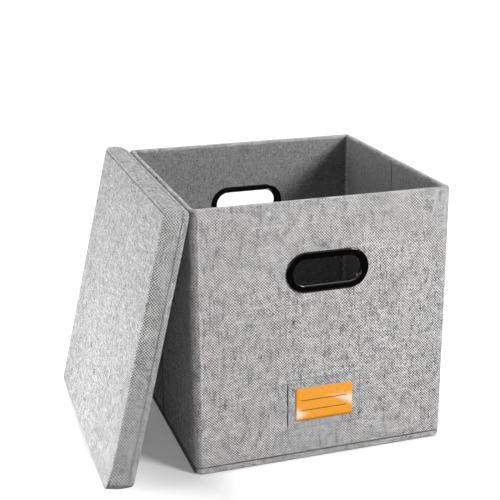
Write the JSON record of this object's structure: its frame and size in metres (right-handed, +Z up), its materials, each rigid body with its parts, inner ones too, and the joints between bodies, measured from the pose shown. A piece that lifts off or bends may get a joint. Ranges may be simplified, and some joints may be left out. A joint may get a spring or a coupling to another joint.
{
  "type": "carrying case",
  "caption": "Cloth-covered square carrying case with folding sides, oval finger-slot handles, a clear label pocket and a lift-off tray lid that leans on its side.",
  "frame": {"origin": "on the floor, at the middle of the case's own foot (the leaning lid stands outside it on the left)", "axes": "+Z up, +X to the right along the front wall, +Y from the front wall to the back wall; the front wall with the label faces -Y"},
  "size_m": [0.4448, 0.346, 0.3472],
  "materials": {
    "case_linen": "heathered plain-weave linen look",
    "lid_linen": "heathered plain-weave linen look",
    "hem_linen": "turned and stitched linen hem",
    "lining_linen": "plain woven lining",
    "fibreboard": "raw grey-brown board, hidden inside the cloth",
    "grip_black": "polished black",
    "clear_film": "clear film",
    "card_orange": "orange card under the film"
  },
  "bodies": {
    "back_wall": {"hem_band": "hem_linen", "base_cloth": "lining_linen", "back_cover": "case_linen", "back_board": "fibreboard", "back_lining": "lining_linen", "handle_ring_back": "grip_black", "handle_snap_ring_back": "grip_black", "corner_strip_back_left": "case_linen", "corner_strip_back_right": "case_linen"},
    "bottom_panel": {"base_panel_board": "fibreboard", "base_panel_cloth": "lining_linen"},
    "left_rear": {"left_rear_cover": "case_linen", "left_rear_board": "fibreboard", "left_rear_lining": "lining_linen", "crease_strip_left": "lining_linen"},
    "left_front": {"left_front_cover": "case_linen", "left_front_board": "fibreboard", "left_front_lining": "lining_linen"},
    "front_wall": {"front_cover": "case_linen", "front_board": "fibreboard", "front_lining": "lining_linen", "handle_ring_front": "grip_black", "handle_snap_ring_front": "grip_black", "corner_strip_front_left": "case_linen", "corner_strip_front_right": "case_linen", "label_pocket": "clear_film"},
    "right_rear": {"right_rear_cover": "case_linen", "right_rear_board": "fibreboard", "right_rear_lining": "lining_linen", "crease_strip_right": "lining_linen"},
    "right_front": {"right_front_cover": "case_linen", "right_front_board": "fibreboard", "right_front_lining": "lining_linen"},
    "card": {"label_card": "card_orange"},
    "lid": {"lid_cover": "lid_linen", "lid_lining": "lining_linen", "lid_top_board": "fibreboard", "lid_skirt_board_front": "fibreboard", "lid_skirt_board_back": "fibreboard", "lid_skirt_board_foot": "fibreboard", "lid_skirt_board_head": "fibreboard"}
  },
  "joints": [
    {"name": "left_back_fold", "type": "hinge", "parent": "back_wall", "child": "left_rear", "pos_m": [-0.161, 0.151, 0.1756], "axis": [0, 0, 1], "range_deg": [0, 90]},
    {"name": "left_crease", "type": "hinge", "parent": "left_rear", "child": "left_front", "pos_m": [-0.16775, 0, 0.1756], "axis": [0, 0, 1], "range_deg": [-180, 0]},
    {"name": "left_front_fold", "type": "hinge", "parent": "left_front", "child": "front_wall", "pos_m": [-0.161, -0.151, 0.1756], "axis": [0, 0, 1], "range_deg": [0, 90]},
    {"name": "right_back_fold", "type": "hinge", "parent": "back_wall", "child": "right_rear", "pos_m": [0.161, 0.151, 0.1756], "axis": [0, 0, 1], "range_deg": [-90, 0]},
    {"name": "right_crease", "type": "hinge", "parent": "right_rear", "child": "right_front", "pos_m": [0.16775, 0, 0.1756], "axis": [0, 0, 1], "range_deg": [0, 180]},
    {"name": "bottom_panel_flip", "type": "hinge", "parent": "back_wall", "child": "bottom_panel", "pos_m": [0, 0.1568, 0.0055], "axis": [-1, 0, 0], "range_deg": [0, 90]},
    {"name": "card_slide", "type": "slide", "parent": "front_wall", "child": "card", "axis": [0, 0, 1], "range_m": [0, 0.07]},
    {"name": "lid_lift", "type": "slide", "parent": "back_wall", "child": "lid", "axis": [0, 0, 1], "range_m": [0, 0.36]}
  ],
  "couplings": [
    {"joint": "left_crease", "follows": "left_back_fold", "ratio": -2},
    {"joint": "left_front_fold", "follows": "left_back_fold", "ratio": 1},
    {"joint": "right_back_fold", "follows": "left_back_fold", "ratio": -1},
    {"joint": "right_crease", "follows": "left_back_fold", "ratio": 2}
  ]
}
